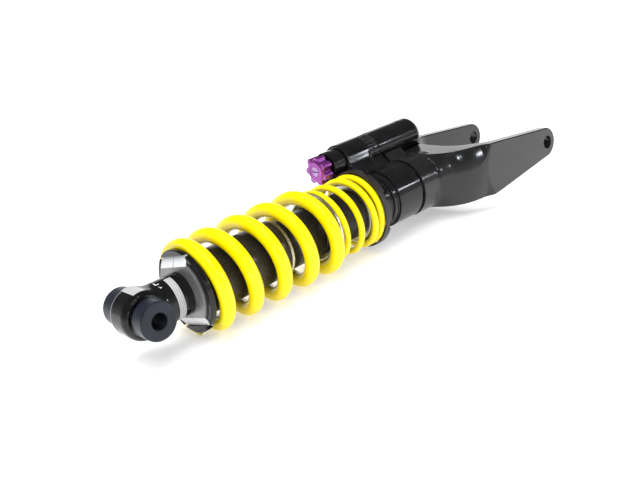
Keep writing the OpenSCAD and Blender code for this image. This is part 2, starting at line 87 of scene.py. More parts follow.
TUBE_R = TUBE_HI[2]
TUBE_BORE = TUBE_R - 4.0
DUST_R = DUST_HI[2]
DUST_BORE = DUST_R - 1.5
NECK_R = 19.0
RACE_R = 17.0
RES_R = (RES_HI[2] - RES_LO[2]) / 2
RES_BORE = RES_R - 5.0
RES_Y = (RES_LO[1] + RES_HI[1]) / 2
RES_Z = (RES_LO[2] + RES_HI[2]) / 2
RES_ANGLE = math.atan2(RES_Z, RES_Y)
ARM_OUT = FORK_HI[1]
ARM_T = 11.2
TIP_R = 16.3
TIP_X = FORK_HI[0] - TIP_R
FORK_BORE_X = FORK_HI[0] - 14.5
BOLT_R = 7.0
CROTCH_X = FORK_LO[0] + 58.5
HEAD_R = 30.0
HEAD_X0 = HOUSE_LO[0] + 21.0
PERCH_X = MAIN_LO[0] - 0.2
RETAINER_TURN = math.radians(-13)
RETAINER_R = 31.3
LUG_HALF = 21.5
FACET_HALF = 22.6
FACET_LEAN = math.radians(29)
SPRING_BORE_R = 30.25
PILOT_R = 29.35
TUBE_GAP = 0.4
FLANGE_X0 = MAIN_HI[0] + 0.2
RES_OUT = 55.0
BRIDGE_HALF = 13
WEB_HALF = 11
SPIGOT_R = TUBE_R - 2


# ------------------------------------------------------------------ meshes
def build(name, verts, quads, tris=None, normals=None):
    """A mesh object from millimetre vertices, quads and triangles, shaded smooth."""
    me = bpy.data.meshes.new(name)
    verts = np.asarray(verts, float) * MM
    quads = np.asarray(quads, np.int32).reshape(-1, 4)
    tris = np.asarray([] if tris is None else tris, np.int32).reshape(-1, 3)
    me.vertices.add(len(verts))
    me.vertices.foreach_set("co", verts.astype(np.float32).ravel())
    loops = np.concatenate([quads.ravel(), tris.ravel()])
    me.loops.add(len(loops))
    me.loops.foreach_set("vertex_index", loops)
    starts = np.concatenate([
        np.arange(len(quads)) * 4, len(quads) * 4 + np.arange(len(tris)) * 3])
    me.polygons.add(len(starts))
    me.polygons.foreach_set("loop_start", starts.astype(np.int32))
    me.polygons.foreach_set("use_smooth", np.ones(len(starts), bool))
    me.update(calc_edges=True)
    me.validate()
    if normals is not None:
        me.normals_split_custom_set_from_vertices(np.asarray(normals, float).tolist())
    obj = bpy.data.objects.new(name, me)
    bpy.context.scene.collection.objects.link(obj)
    return obj


def unit(v):
    """Vectors scaled to length one, along the last axis."""
    return v / np.maximum(np.linalg.norm(v, axis=-1, keepdims=True), 1e-12)


# ---- solids from distance functions
def both(a, b, r=0.0):
    """Inside a and b, with the edge between them rounded by r."""
    if r == 0:
        return np.maximum(a, b)
    a, b = a + r, b + r
    return np.minimum(np.maximum(a, b), 0) + np.hypot(np.maximum(a, 0), np.maximum(b, 0)) - r


def join(a, b, r=0.0):
    """Inside a or b, with a fillet r between them."""
    return -both(-a, -b, r)


def cut(a, b, r=0.0):
    """Inside a and outside b, with the edge rounded by r."""
    return both(a, -b, r)


def slab(v, lo, hi):
    """Between lo and hi."""
    return np.maximum(lo - v, v - hi)


def rod(u, v, w, r, lo, hi, edge=0.0):
    """Round bar of radius r along w from lo to hi."""
    return both(np.hypot(u, v) - r, slab(w, lo, hi), edge)


def nets(name, f, lo, hi, h):
    """Closed quad mesh of the surface f(x, y, z) = 0 between lo and hi, cells of h."""
    axes = [np.arange(a - 1.6 * h, b + 1.6 * h, h) for a, b in zip(lo, hi)]
    v = f(*np.meshgrid(*axes, indexing="ij"))
    inside = v < 0
    corner = [(i, j, k) for i in (0, 1) for j in (0, 1) for k in (0, 1)]
    n = [s - 1 for s in v.shape]

    def at(grid, c):
        return grid[c[0]:c[0] + n[0], c[1]:c[1] + n[1], c[2]:c[2] + n[2]]

    full, some = np.ones(n, bool), np.zeros(n, bool)
    for c in corner:
        full &= at(inside, c)
        some |= at(inside, c)
    cell = np.argwhere(some & ~full)
    total = np.zeros((len(cell), 3))
    count = np.zeros(len(cell))
    for c in corner:
        for axis in range(3):
            if c[axis]:
                continue
            d = list(c)
            d[axis] = 1
            a = v[tuple((cell + c).T)]
            b = v[tuple((cell + d).T)]
            hit = (a < 0) != (b < 0)
            t = np.where(hit, a / np.where(a == b, 1, a - b), 0)
            point = np.array(c, float)[None] + t[:, None] * (np.arange(3) == axis)
            total += point * hit[:, None]
            count += hit
    low = np.array([a[0] for a in axes])
    verts = low + h * (cell + total / count[:, None])
    index = np.full(n, -1)
    index[tuple(cell.T)] = np.arange(len(cell))
    quads = []
    for axis in range(3):
        p, q = (axis + 1) % 3, (axis + 2) % 3
        one, two = [slice(None)] * 3, [slice(None)] * 3
        one[axis], two[axis] = slice(0, -1), slice(1, None)
        change = np.argwhere(inside[tuple(one)] != inside[tuple(two)])
        ok = (change[:, p] > 0) & (change[:, q] > 0)
        ok &= (change[:, p] < v.shape[p] - 1) & (change[:, q] < v.shape[q] - 1)
        change = change[ok]
        ring = []
        for dp, dq in ((1, 1), (0, 1), (0, 0), (1, 0)):
            c = change.copy()
            c[:, p] -= dp
            c[:, q] -= dq
            ring.append(index[tuple(c.T)])
        ring = np.stack(ring, 1)
        flip = ~inside[tuple(change.T)]
        ring[flip] = ring[flip][:, ::-1]
        quads.append(ring)
    quads = np.concatenate(quads)
    quads = quads[(quads >= 0).all(1)]

    def slope(p):
        g = np.empty_like(p)
        for axis in range(3):
            d = np.zeros(3)
            d[axis] = 0.05
            g[:, axis] = (f(*(p + d).T) - f(*(p - d).T)) / 0.1
        return g

    for _ in range(3):
        g = slope(verts)
        step = (f(*verts.T) / np.maximum((g * g).sum(1), 0.25))[:, None] * g
        verts -= np.clip(step, -0.35 * h, 0.35 * h)
    return build(name, verts, quads, normals=unit(slope(verts)))


# ---- turned parts
def outline(points, default=0.3):
    """(station, radius, normal) samples of a closed outline whose corners are arcs.

    Each point is (station, radius) or (station, radius, corner radius)."""
    p = np.array([q[:2] for q in points], float)
    size = [q[2] if len(q) > 2 else default for q in points]
    n = len(p)
    nxt = np.roll(p, -1, 0)
    area = (p[:, 0] * nxt[:, 1] - nxt[:, 0] * p[:, 1]).sum()
    side = 1 if area > 0 else -1
    where, normal = [], []
    for i in range(n):
        a, b, c = p[i - 1], p[i], p[(i + 1) % n]
        d0, d1 = unit(b - a), unit(c - b)
        n0, n1 = (np.array([d[1], -d[0]]) * side for d in (d0, d1))
        turn = math.atan2(d0[0] * d1[1] - d0[1] * d1[0], d0 @ d1)
        on_axis = b[1] < 1e-6
        if abs(turn) < 1e-3 or on_axis:
            where.append(b)
            normal.append(n1 if a[1] < 1e-6 else n0)
            continue
        reach = min(size[i] * math.tan(abs(turn) / 2),
                    0.48 * np.linalg.norm(b - a), 0.48 * np.linalg.norm(c - b))
        r = reach / math.tan(abs(turn) / 2)
        bulge = 1 if turn * side > 0 else -1
        centre = b - d0 * reach - bulge * r * n0
        steps = max(2, math.ceil(abs(turn) / math.radians(15)))
        for s in np.linspace(0, 1, steps + 1):
            angle = turn * s
            m = np.array([math.cos(angle) * n0[0] - math.sin(angle) * n0[1],
                          math.sin(angle) * n0[0] + math.cos(angle) * n0[1]])
            where.append(centre + bulge * r * m)
            normal.append(m)
    return np.array(where), np.array(normal)


def turned(name, points, axis="x", centre=(0.0, 0.0), steps=144, default=0.3, wave=None):
    """Turned part about X at (y, z) = centre, or about Y through the origin.

    wave(station, radius, angle) gives how far a point moves inwards."""
    pos, nor = outline(points, default)
    poles = np.flatnonzero(pos[:, 1] < 1e-6)
    open_line = len(poles) == 2
    if open_line:
        adjoining = poles[1] - poles[0] == 1
        at_ends = poles[0] == 0 and poles[1] == len(pos) - 1
        start = poles[1] if adjoining or at_ends else poles[0]
        first = poles[0] if start == poles[1] and poles[1] - poles[0] != 1 else start
        pos, nor = np.roll(pos, -first, 0), np.roll(nor, -first, 0)
        if pos[-1, 1] > 1e-6:
            back = np.flatnonzero(pos[:, 1] < 1e-6)[1]
            pos, nor = np.roll(pos, -back, 0), np.roll(nor, -back, 0)
    m = len(pos)
    angle = np.arange(steps) * TAU / steps
    ring = np.stack([np.cos(angle), np.sin(angle)], 1)
    r = np.repeat(pos[:, 1:2], steps, 1)
    if wave is not None:
        r = r - wave(pos[:, 0:1], pos[:, 1:2], angle[None])
    s = np.repeat(pos[:, 0:1], steps, 1)
    u, w = r * ring[None, :, 0], r * ring[None, :, 1]
    nu, nw = nor[:, 1:2] * ring[None, :, 0], nor[:, 1:2] * ring[None, :, 1]
    ns = np.repeat(nor[:, 0:1], steps, 1)
    if axis == "x":
        verts = np.stack([s, u + centre[0], w + centre[1]], -1)
        normals = np.stack([ns, nu, nw], -1)
    else:
        verts, normals = np.stack([w, s, u], -1), np.stack([nw, ns, nu], -1)
    index = np.arange(m * steps).reshape(m, steps)
    verts, normals = verts.reshape(-1, 3), normals.reshape(-1, 3)
    last = m - 1 if open_line else m
    tris, quads = [], []
    for i in range(last):
        a, b = index[i], index[(i + 1) % m]
        a1, b1 = np.roll(a, -1), np.roll(b, -1)
        if open_line and i == 0:
            tris.append(np.stack([np.full(steps, a[0]), b, b1], 1))
        elif open_line and i == last - 1:
            tris.append(np.stack([a1, a, np.full(steps, b[0])], 1))
        else:
            quads.append(np.stack([a, b, b1, a1], 1))
    quads = np.concatenate(quads)
    tris = np.concatenate(tris) if tris else np.zeros((0, 3), int)
    face = verts[quads]
    facing = np.cross(face[:, 1] - face[:, 0], face[:, 3] - face[:, 0])
    if (facing * normals[quads].sum(1)).sum() < 0:
        quads, tris = quads[:, ::-1], tris[:, ::-1]
    used = np.unique(np.concatenate([quads.ravel(), tris.ravel()]))
    renumber = np.full(len(verts), -1)
    renumber[used] = np.arange(len(used))
    return build(name, verts[used], renumber[quads], renumber[tris],
                 normals[used] if wave is None else None)


# ---- springs
def ease(u, b=0.3):
    """0 below zero and u above it, with a smooth bend within b of zero."""
    return np.where(u < -b, 0, np.where(u < b, (u + b) ** 2 / (4 * b), u))


def coil(name, x0, length, r, d, turns, c0, c1, start, part=(0.0, 1.0), per_turn=96, sides=36):
    """Closed-end spring, or the part of it between two shares of its stretch.

    Returns the object and each vertex's share of the stretch."""
    def stretch(t):
        return (ease(t - c0) - ease(t - turns + c1)) / (turns - c0 - c1)

    t = np.linspace(0, turns, round(turns * per_turn) + 1)
    share = stretch(t)
    keep = (share >= part[0] - 1e-9) & (share <= part[1] + 1e-9)
    if part[0] > 0:
        keep[np.flatnonzero(keep)[0] - 1] = True
    t, share = t[keep], share[keep]
    pitch = 1.08 * d
    xc = -0.12 * d + pitch * t + (length + 0.24 * d - pitch * turns) * share
    angle = start + TAU * t
    b = np.arange(sides) * TAU / sides
    q = r + d / 2 * np.cos(b)[None]
    x = xc[:, None] + d / 2 * np.sin(b)[None]
    ground = np.clip(x, 0, length)
    verts = np.stack([x0 + ground, q * np.cos(angle)[:, None], q * np.sin(angle)[:, None]], -1)
    out = np.stack([np.repeat(np.sin(b)[None], len(t), 0),
                    np.cos(b)[None] * np.cos(angle)[:, None],
                    np.cos(b)[None] * np.sin(angle)[:, None]], -1)
    flat = np.abs(ground - x) > 0.02
    out[flat] = np.stack([np.sign(x - ground)[flat], np.zeros(flat.sum()), np.zeros(flat.sum())], -1)
    n = len(t)
    index = np.arange(n * sides).reshape(n, sides)
    a, c = index[:-1], index[1:]
    quads = np.stack([a, c, np.roll(c, -1, 1), np.roll(a, -1, 1)], -1).reshape(-1, 4)
    tris = []
    for row, first, flip in ((0, sides // 4, False), (n - 1, 3 * sides // 4, True)):
        if (row == 0 and part[0] > 0) or (row and part[1] < 1):
            continue
        for j in range(1, sides - 1):
            tri = [index[row, first], index[row, (first + j) % sides],
                   index[row, (first + j + 1) % sides]]
            tris.append(tri[::-1] if flip else tri)
    obj = build(name, verts.reshape(-1, 3), quads, tris, out.reshape(-1, 3))
    return obj, np.repeat(share, sides)


# ---- thin films and marks on a round surface
def film(name, outline_uv, place, lift, base=0.02, cell=0.8):
    """Thin film over the patch of a surface between the two (u, v) corners given.

    place(u, v, height) gives the points; the film goes from height base to lift."""
    u0, v0 = np.min(outline_uv, 0)
    u1, v1 = np.max(outline_uv, 0)
    nu = max(2, math.ceil((u1 - u0) / cell))
    nv = max(2, math.ceil((v1 - v0) / cell))
    u, v = np.meshgrid(np.linspace(u0, u1, nu + 1), np.linspace(v0, v1, nv + 1), indexing="ij")
    top = place(u, v, lift).reshape(-1, 3)
    low = place(u, v, base).reshape(-1, 3)
    index = np.arange((nu + 1) * (nv + 1)).reshape(nu + 1, nv + 1)
    quads = np.stack([index[:-1, :-1], index[1:, :-1], index[1:, 1:], index[:-1, 1:]], -1)
    quads = quads.reshape(-1, 4)
    m = len(top)
    rim = np.concatenate([index[:, 0], index[-1, 1:], index[-2::-1, -1], index[0, -2:0:-1]])
    turn = np.roll(rim, -1)
    walls = np.stack([turn, rim, rim + m, turn + m], -1)
    obj = build(name, np.concatenate([top, low]),
                np.concatenate([quads, quads[:, ::-1] + m, walls]))
    for poly in obj.data.polygons[len(quads):]:
        poly.use_smooth = False
    return obj


# ------------------------------------------------------------------ materials
def material(name, colour, rough, metal=0.0, coat=0.0, coat_rough=0.05, tint=None, patch=60.0,
             vary=0.08, grain=1500.0, bump=0.02, bump_mm=0.05, brushed=None, specular=0.5,
             scratches=0.0, extra=None):
    """A surface with blotches of tint, uneven gloss and a fine relief, all in metres."""
    m = bpy.data.materials.new(name)
    m.use_nodes = True
    nt = m.node_tree
    nodes, links = nt.nodes, nt.links
    bsdf = nodes["Principled BSDF"]
    bsdf.inputs["Metallic"].default_value = metal
    bsdf.inputs["Coat Weight"].default_value = coat
    bsdf.inputs["Coat Roughness"].default_value = coat_rough
    bsdf.inputs["Specular IOR Level"].default_value = specular
    where = nodes.new("ShaderNodeTexCoord")

    def noise(scale, detail, vector=None, rough_=0.55):
        n = nodes.new("ShaderNodeTexNoise")
        n.inputs["Scale"].default_value = scale
        n.inputs["Detail"].default_value = detail
        n.inputs["Roughness"].default_value = rough_
        links.new(vector or where.outputs["Object"], n.inputs["Vector"])
        return n.outputs["Fac"]

    def ramp(fac, a, b, lo=0.35, hi=0.65):
        r = nodes.new("ShaderNodeMapRange")
        r.inputs["From Min"].default_value, r.inputs["From Max"].default_value = lo, hi
        r.inputs["To Min"].default_value, r.inputs["To Max"].default_value = a, b
        links.new(fac, r.inputs["Value"])
        return r.outputs["Result"]

    mix = nodes.new("ShaderNodeMix")
    mix.data_type = "RGBA"
    mix.inputs[6].default_value = (*colour, 1)
    other = tint or tuple(min(1.0, c * (1 + 3 * vary) + 0.004) for c in colour)
    mix.inputs[7].default_value = (*other, 1)
    links.new(ramp(noise(patch, 5), 0, 1), mix.inputs[0])
    links.new(mix.outputs[2], bsdf.inputs["Base Color"])

    vector = None
    if brushed:
        stretch = nodes.new("ShaderNodeMapping")
        stretch.inputs["Scale"].default_value = brushed
        links.new(where.outputs["Object"], stretch.inputs["Vector"])
        vector = stretch.outputs["Vector"]
    fine = noise(grain, 3, vector)
    links.new(ramp(noise(patch * 2.3, 6, vector), rough * (1 - vary * 2), rough * (1 + vary * 2)),
              bsdf.inputs["Roughness"])
    relief = nodes.new("ShaderNodeBump")
    relief.inputs["Strength"].default_value = bump
    relief.inputs["Distance"].default_value = bump_mm * MM
    height = fine
    if scratches:
        lines = nodes.new("ShaderNodeTexVoronoi")
        lines.feature = "DISTANCE_TO_EDGE"
        lines.inputs["Scale"].default_value = 90
        links.new(where.outputs["Object"], lines.inputs["Vector"])
        thin = ramp(lines.outputs["Distance"], 1, 0, 0.0, scratches)
        add = nodes.new("ShaderNodeMath")
        add.operation = "SUBTRACT"
        links.new(fine, add.inputs[0])
        links.new(thin, add.inputs[1])
        height = add.outputs[0]
    links.new(height, relief.inputs["Height"])
    links.new(relief.outputs["Normal"], bsdf.inputs["Normal"])
    if extra:
        extra(nodes, links, where, bsdf, mix, relief)
    return m


def ruled(nodes, links, where, bsdf, mix, relief):
    """Faint blank ruled lines on a film."""
    wave = nodes.new("ShaderNodeTexWave")
    wave.bands_direction = "X"
    wave.inputs["Scale"].default_value = 190
    wave.inputs["Distortion"].default_value = 0.0
    links.new(where.outputs["Object"], wave.inputs["Vector"])
    sharp = nodes.new("ShaderNodeMapRange")
    sharp.inputs["From Min"].default_value, sharp.inputs["From Max"].default_value = 0.75, 0.95
    sharp.inputs["To Max"].default_value = 0.75
    links.new(wave.outputs["Fac"], sharp.inputs["Value"])
    over = nodes.new("ShaderNodeMix")
    over.data_type = "RGBA"
    over.inputs[7].default_value = (0.1, 0.105, 0.12, 1)
    links.new(sharp.outputs["Result"], over.inputs[0])
    links.new(mix.outputs[2], over.inputs[6])
    links.new(over.outputs[2], bsdf.inputs["Base Color"])


GLOSS_BLACK = material("gloss_black", (0.004, 0.004, 0.0045), 0.15, coat=0.15, coat_rough=0.04,
                       tint=(0.008, 0.0075, 0.008), grain=900, bump=0.05, scratches=0.01,
                       specular=0.28)
SATIN_BLACK = material("satin_black", (0.008, 0.008, 0.0088), 0.16, coat=0.2, coat_rough=0.08,
                       tint=(0.013, 0.0125, 0.013), grain=2600, bump=0.05, specular=0.4)
DARK_TUBE = material("dark_tube", (0.028, 0.026, 0.027), 0.3, metal=0.6,
                     tint=(0.04, 0.036, 0.036), brushed=(1, 12, 12), grain=300, bump=0.05)
COLLAR = material("collar_brown", (0.016, 0.013, 0.012), 0.45, tint=(0.026, 0.021, 0.019),
                  grain=3000, bump=0.12)
YELLOW = material("spring_yellow", (0.94, 0.74, 0.0), 0.24, coat=0.2, coat_rough=0.08,
                  tint=(0.96, 0.8, 0.0), specular=0.3, vary=0.05, patch=35, grain=420, bump=0.16,
                  bump_mm=0.12)
SILVER = material("silver", (0.72, 0.73, 0.74), 0.28, metal=1.0, tint=(0.62, 0.63, 0.64),
                  brushed=(1, 25, 25), grain=220, bump=0.06)
# Lit copy of the retainer metal, brighter than the plate: a painted highlight for the bevelled faces
# that catch the overhead light.
PAINTED_HIGHLIGHT_FACET = material("retainer_facet_painted_highlight", (0.84, 0.85, 0.86), 0.5, metal=0.15,
                 tint=(0.74, 0.76, 0.77), brushed=(2, 20, 20), grain=260, bump=0.12)
PLATE = material("retainer_silver", (0.2, 0.2, 0.205), 0.4, metal=0.6,
                 tint=(0.3, 0.3, 0.305), brushed=(20, 2, 20), grain=260, bump=0.12)
BLUE_GREY = material("blue_grey", (0.013, 0.0155, 0.0245), 0.34, metal=0.25,
                     tint=(0.019, 0.0222, 0.034), specular=0.35, brushed=(18, 1, 18),
                     grain=240, bump=0.05)
PURPLE = material("purple", (0.25, 0.045, 0.28), 0.24, metal=0.8, coat=0.25,
                  tint=(0.38, 0.1, 0.41), grain=1200, bump=0.05)
PURPLE_PALE = material("purple_screw", (0.34, 0.2, 0.42), 0.25, metal=0.9,
                       tint=(0.5, 0.36, 0.56), grain=1200, bump=0.04)
STEEL = material("bearing_steel", (0.5, 0.5, 0.52), 0.18, metal=1.0, brushed=(20, 1, 20),
                 grain=260, bump=0.03)
SPRING_STEEL = material("spring_steel", (0.16, 0.16, 0.17), 0.34, metal=1.0, grain=900, bump=0.08)
CHROME = material("rod_chrome", (0.8, 0.8, 0.82), 0.06, metal=1.0, brushed=(1, 30, 30),
                  grain=400, bump=0.01)
BRONZE = material("bronze", (0.45, 0.3, 0.14), 0.34, metal=1.0, grain=2200, bump=0.15)
BRASS = material("brass_part", (0.62, 0.44, 0.16), 0.24, metal=1.0, brushed=(14, 14, 1),
                 grain=300, bump=0.06)
RUBBER = material("rubber_black", (0.014, 0.014, 0.014), 0.62, grain=1800, bump=0.25)
FOAM = material("foam", (0.42, 0.36, 0.08), 0.8, grain=700, bump=0.7, bump_mm=0.3)
NYLON = material("nylon", (0.62, 0.6, 0.52), 0.45, grain=1500, bump=0.1)
PTFE = material("ptfe", (0.06, 0.04, 0.03), 0.4, grain=1500, bump=0.1)
FILM = material("label_white", (0.47, 0.47, 0.455), 0.38, vary=0.03, patch=80, grain=700,
                bump=0.05, extra=ruled)
MARK = material("mark_white", (0.75, 0.75, 0.73), 0.5, vary=0.04, grain=1500, bump=0.08)


def piece(obj, mat, slot, body, *nodes):
    """Gives obj its material and body, and takes it in place of the CAD nodes. The slot is not used.
    """
    obj.data.materials.clear()
    obj.data.materials.append(mat)
    if body:
        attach(obj, body)
    if nodes:
        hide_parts(*nodes)
    return obj


# ------------------------------------------------------------------ eye end
GROOVE_X0, GROOVE_X1 = PERCH_LO[0] - 1.9, PERCH_X - 1.8
DRUM_HALF = 15.0
SEAT_R = RACE_R + 0.05


def around(y, z, angle):
    """(y, z) read in axes turned about X by angle."""
    c, s = math.cos(angle), math.sin(angle)
    return c * y + s * z, -s * y + c * z


def rod_eye(x, y, z):
    rr = np.hypot(y, z)
    drum = both(np.hypot(x, z) - DRUM_R, np.abs(y) - DRUM_HALF, 8.0)
    taper = np.interp(x, [4, 17], [DRUM_HALF - 1, NECK_R])
    neck = both((rr - taper) * 0.95, slab(x, 4, NECK_END), 0.8)
    f = join(drum, neck, 5.0)
    f = np.maximum(f, rr - NECK_R - np.where(x > 19, 0.0, 40))
    f = cut(f, both(slab(x, GROOVE_X0 - 0.1, GROOVE_X1 + 0.1), NECK_R - 2.4 - rr), 0.2)
    f = cut(f, both(np.hypot(x, z) - SPACER_R - 1.7, DRUM_HALF - np.abs(y)), 0.5)
    f = cut(f, np.hypot(x, z) - SEAT_R, 0.7)
    f = cut(f, rod(y, z, x, 8.05, 28, NECK_END + 5), 0.4)
    return cut(f, rod(x - 22, y, z, 3.05, -NECK_R - 5, -NECK_R + 7), 0.4)


piece(nets("rod_eye_body", rod_eye, eye_lo, eye_hi, 0.6), GLOSS_BLACK, "gloss_black",
      "rod_assembly", "rod_eye")

for side, name in ((-1, "near"), (1, "far")):
    inner, lip, out = 0.6, DRUM_HALF + 1.4, SPACER_OUT
    stations = [(inner, BOLT_R), (inner, 9.45, 0.3), (lip, 9.45, 0.1), (lip, SPACER_R, 0.8),
                (out, SPACER_R, 1.4), (out, BOLT_R, 0.7)]
    spacer = turned("eye_spacer_" + name + "_turned",
                    [(side * s[0],) + tuple(s[1:]) for s in stations], axis="y")
    piece(spacer, BLUE_GREY, "blue_grey", "eye_bush", "eye_spacer_" + name)


def lug(x, y, z, g=0.0):
    """The two straight lugs that stand out of the retainer, grown by g."""
    return np.maximum(np.abs(y) - LUG_HALF - g, np.abs(z) - RETAINER_R - g)


def retainer(sign):
    def f(x, y, z):
        y, z = around(y, z, RETAINER_TURN)
        disc = join(both(np.hypot(y, z) - RETAINER_R, x - GROOVE_X1, 0.35),
                    both(lug(x, y, z), x - GROOVE_X1 + 0.1, 0.35), 0.3)
        disc = both(disc, GROOVE_X0 - x, 0.35)
        bevel = ((np.abs(z) - FACET_HALF) * math.sin(FACET_LEAN)
                 - (x - GROOVE_X0) * math.cos(FACET_LEAN))
        disc = both(disc, bevel, 0.3)
        disc = cut(disc, np.hypot(y, z) - NECK_R + 2.3, 0.3)
        return both(disc, 0.12 - sign * y, 0.3)
    return f


for sign, name in ((-1, "a"), (1, "b")):
    lo, hi = span("retainer_" + name)
    plate = piece(nets("retainer_%s_plate" % name, retainer(sign), lo, hi, 0.42), PLATE, "silver",
                  "rod_assembly", "retainer_" + name)
    plate.data.materials.append(PAINTED_HIGHLIGHT_FACET)
    facing = np.empty(len(plate.data.polygons) * 3)
    plate.data.polygons.foreach_get("normal", facing)
    facing = facing.reshape(-1, 3)
    across, along = around(facing[:, 1], facing[:, 2], RETAINER_TURN)
    # Faces picked by their normal get the lit copy: a painted highlight where light falls on the
    # bevels.
    painted_highlight_faces = (np.abs(along) > 0.3) & (np.abs(across) < 0.5) & (facing[:, 0] < -0.3)
    plate.data.polygons.foreach_set("material_index", painted_highlight_faces.astype(np.int32))


def spring_perch(x, y, z):
    rr = np.hypot(y, z)
    u, w = around(y, z, RETAINER_TURN)
    f = both(rr - PERCH_HI[2], slab(x, PERCH_LO[0], PERCH_X), 0.9)
    f = join(f, both(rr - PILOT_R, slab(x, PERCH_X - 1, PERCH_X + 3), 0.4), 0.4)
    f = join(f, both(rr - DUST_BORE + 0.05, slab(x, PERCH_X - 1, PERCH_HI[0]), 0.3), 0.3)
    f = cut(f, np.minimum(np.maximum(rr - RETAINER_R - 0.15, x - GROOVE_X1 - 0.1),
                          np.maximum(lug(x, u, w, 0.15), x - GROOVE_X1)), 0.35)
    a = math.radians(138)
    q, t = around(y, z, a)
    notch = np.maximum(np.abs(q) - 3.5, PERCH_HI[2] - 2.5 - t)
    f = cut(f, np.maximum(notch, x - PERCH_LO[0] - 4), 0.3)
    return cut(f, rr - NECK_R - 0.1, 0.3)


piece(nets("spring_perch_body", spring_perch, PERCH_LO, PERCH_HI, 0.55), GLOSS_BLACK,
      "gloss_black", "rod_assembly", "spring_perch")

DUST_END = DUST_HI[0]
piece(turned("dust_tube_turned", [
    (DUST_LO[0], DUST_BORE, 0.2), (DUST_LO[0], DUST_R, 0.3), (DUST_END - 14, DUST_R, 0.2),
    (DUST_END - 13.5, DUST_R - 0.35, 0.2), (DUST_END - 12.6, DUST_R - 0.35, 0.2),
    (DUST_END - 12.1, DUST_R, 0.2), (DUST_END, DUST_R, 0.3), (DUST_END, DUST_BORE, 0.2)]),
    DARK_TUBE, "dark_tube", "rod_assembly", "dust_tube")
lo, hi = span("dust_tube_ring")
piece(turned("dust_tube_ring_turned", [
    (lo[0], DUST_BORE, 0.2), (lo[0], hi[2], 0.5), (lo[0] + 1.2, hi[2], 0.2),
    (lo[0] + 1.5, hi[2] - 0.25, 0.1), (lo[0] + 1.8, hi[2], 0.2), (hi[0], hi[2], 0.5),
    (hi[0], DUST_BORE, 0.3)]), SILVER, "silver", "rod_assembly", "dust_tube_ring")


# ---- blank films and marks on the neck and drum
def on_neck(u, v, height):
    """u along the neck, v round it from +Y towards +Z in mm of arc."""
    a = v / NECK_R
    r = NECK_R + height
    return np.stack([u, r * np.cos(a), r * np.sin(a)], -1)


def on_drum(u, v, height):
    """u along the bolts, v round the drum from +X towards +Z in mm of arc."""
    a = v / DRUM_R
    r = DRUM_R + height
    return np.stack([r * np.cos(a), u, r * np.sin(a)], -1)


lo, hi = span("neck_label")
first, last = math.radians(99), math.radians(360 - 123)
piece(film("neck_film", [(lo[0], first * NECK_R), (hi[0], last * NECK_R)], on_neck, 0.2),
      FILM, "label_white", "rod_assembly", "neck_label")
lo, hi = span("eye_label")
first, last = math.acos(hi[0] / DRUM_R), math.acos(lo[0] / DRUM_R)
piece(film("eye_film", [(lo[1], first * DRUM_R), (hi[1], last * DRUM_R)], on_drum, 0.2),
      FILM, "label_white", "rod_assembly", "eye_label")

MARK_X, MARK_A = 17.8, math.radians(120.3)
strokes = [("plus_bar_a", (-1.9, 1.9), (-0.5, 0.5), 0.0),
           ("plus_bar_b", (-0.5, 0.5), (-1.9, 1.9), 0.0),
           ("arrow_shaft", (-0.6, 2.4), (-0.45, 0.45), -4.9),
           ("arrow_bar", (-1.0, -0.1), (-3.6, 0.45), -4.9)]
for name, along, across, shift in strokes:
    u0, u1 = MARK_X + along[0], MARK_X + along[1]
    v0, v1 = (MARK_A * NECK_R + shift + a for a in across)
    piece(film("neck_" + name, [(u0, v0), (u1, v1)], on_neck, 0.14, -0.3, 0.6), MARK,
          "label_white", "rod_assembly")

# ------------------------------------------------------------------ springs
WIRE = 13.5
main, share = coil("main_spring_wire", MAIN_LO[0], MAIN_HI[0] - MAIN_LO[0],
                   SPRING_BORE_R + WIRE / 2, WIRE, 5.25, 0.85, 0.3, -TAU / 4)
piece(main, YELLOW, "spring_yellow", None, "main_spring")
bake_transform(main)

HELPER_WIRE = 6.2
HELPER_R = 33.95
for part, body, name in (((0, 0.5), "spacer_body", "a"), ((0.5, 1), "seat_body", "b")):
    helper, share = coil("helper_spring_wire_" + name, HELP_LO[0], HELP_HI[0] - HELP_LO[0],
                         HELPER_R, HELPER_WIRE, 4.2, 0.6, 1.35, math.radians(-62), part,
                         sides=28)
    piece(helper, YELLOW, "spring_yellow", None, "helper_spring")
    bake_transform(helper)

# ---- spacer, seat and collar
lo, hi = span("spring_spacer")
piece(turned("spring_spacer_turned", [
    (FLANGE_X0 + 3.4, TUBE_R + TUBE_GAP, 0.2), (FLANGE_X0 + 3.4, DUST_R + 0.9, 0.3),
    (lo[0], DUST_R + 0.9, 0.3), (lo[0], PILOT_R, 0.5), (FLANGE_X0, PILOT_R, 0.2),
    (FLANGE_X0, hi[2], 0.4), (FLANGE_X0 + 2, hi[2], 0.4), (FLANGE_X0 + 2, PILOT_R, 0.2),
    (hi[0], PILOT_R, 0.5), (hi[0], TUBE_R + TUBE_GAP, 0.4)]), SILVER, "silver", "spacer_body",
    "spring_spacer")
lo, hi = span("spring_seat")
piece(turned("spring_seat_turned", [
    (lo[0], TUBE_R + TUBE_GAP, 0.3), (lo[0], PILOT_R - 0.2, 0.6), (hi[0] - 1.2, PILOT_R - 0.2, 0.2),
    (hi[0] - 1.2, hi[2], 0.3), (hi[0], hi[2], 0.3), (hi[0], TUBE_R + TUBE_GAP, 0.2)]),
    SILVER, "silver", "seat_body", "spring_seat")


COLLAR_FLOOR = COLLAR_LO[0] + 4.2
RECESS_R = COLLAR_HI[2] - 1.75


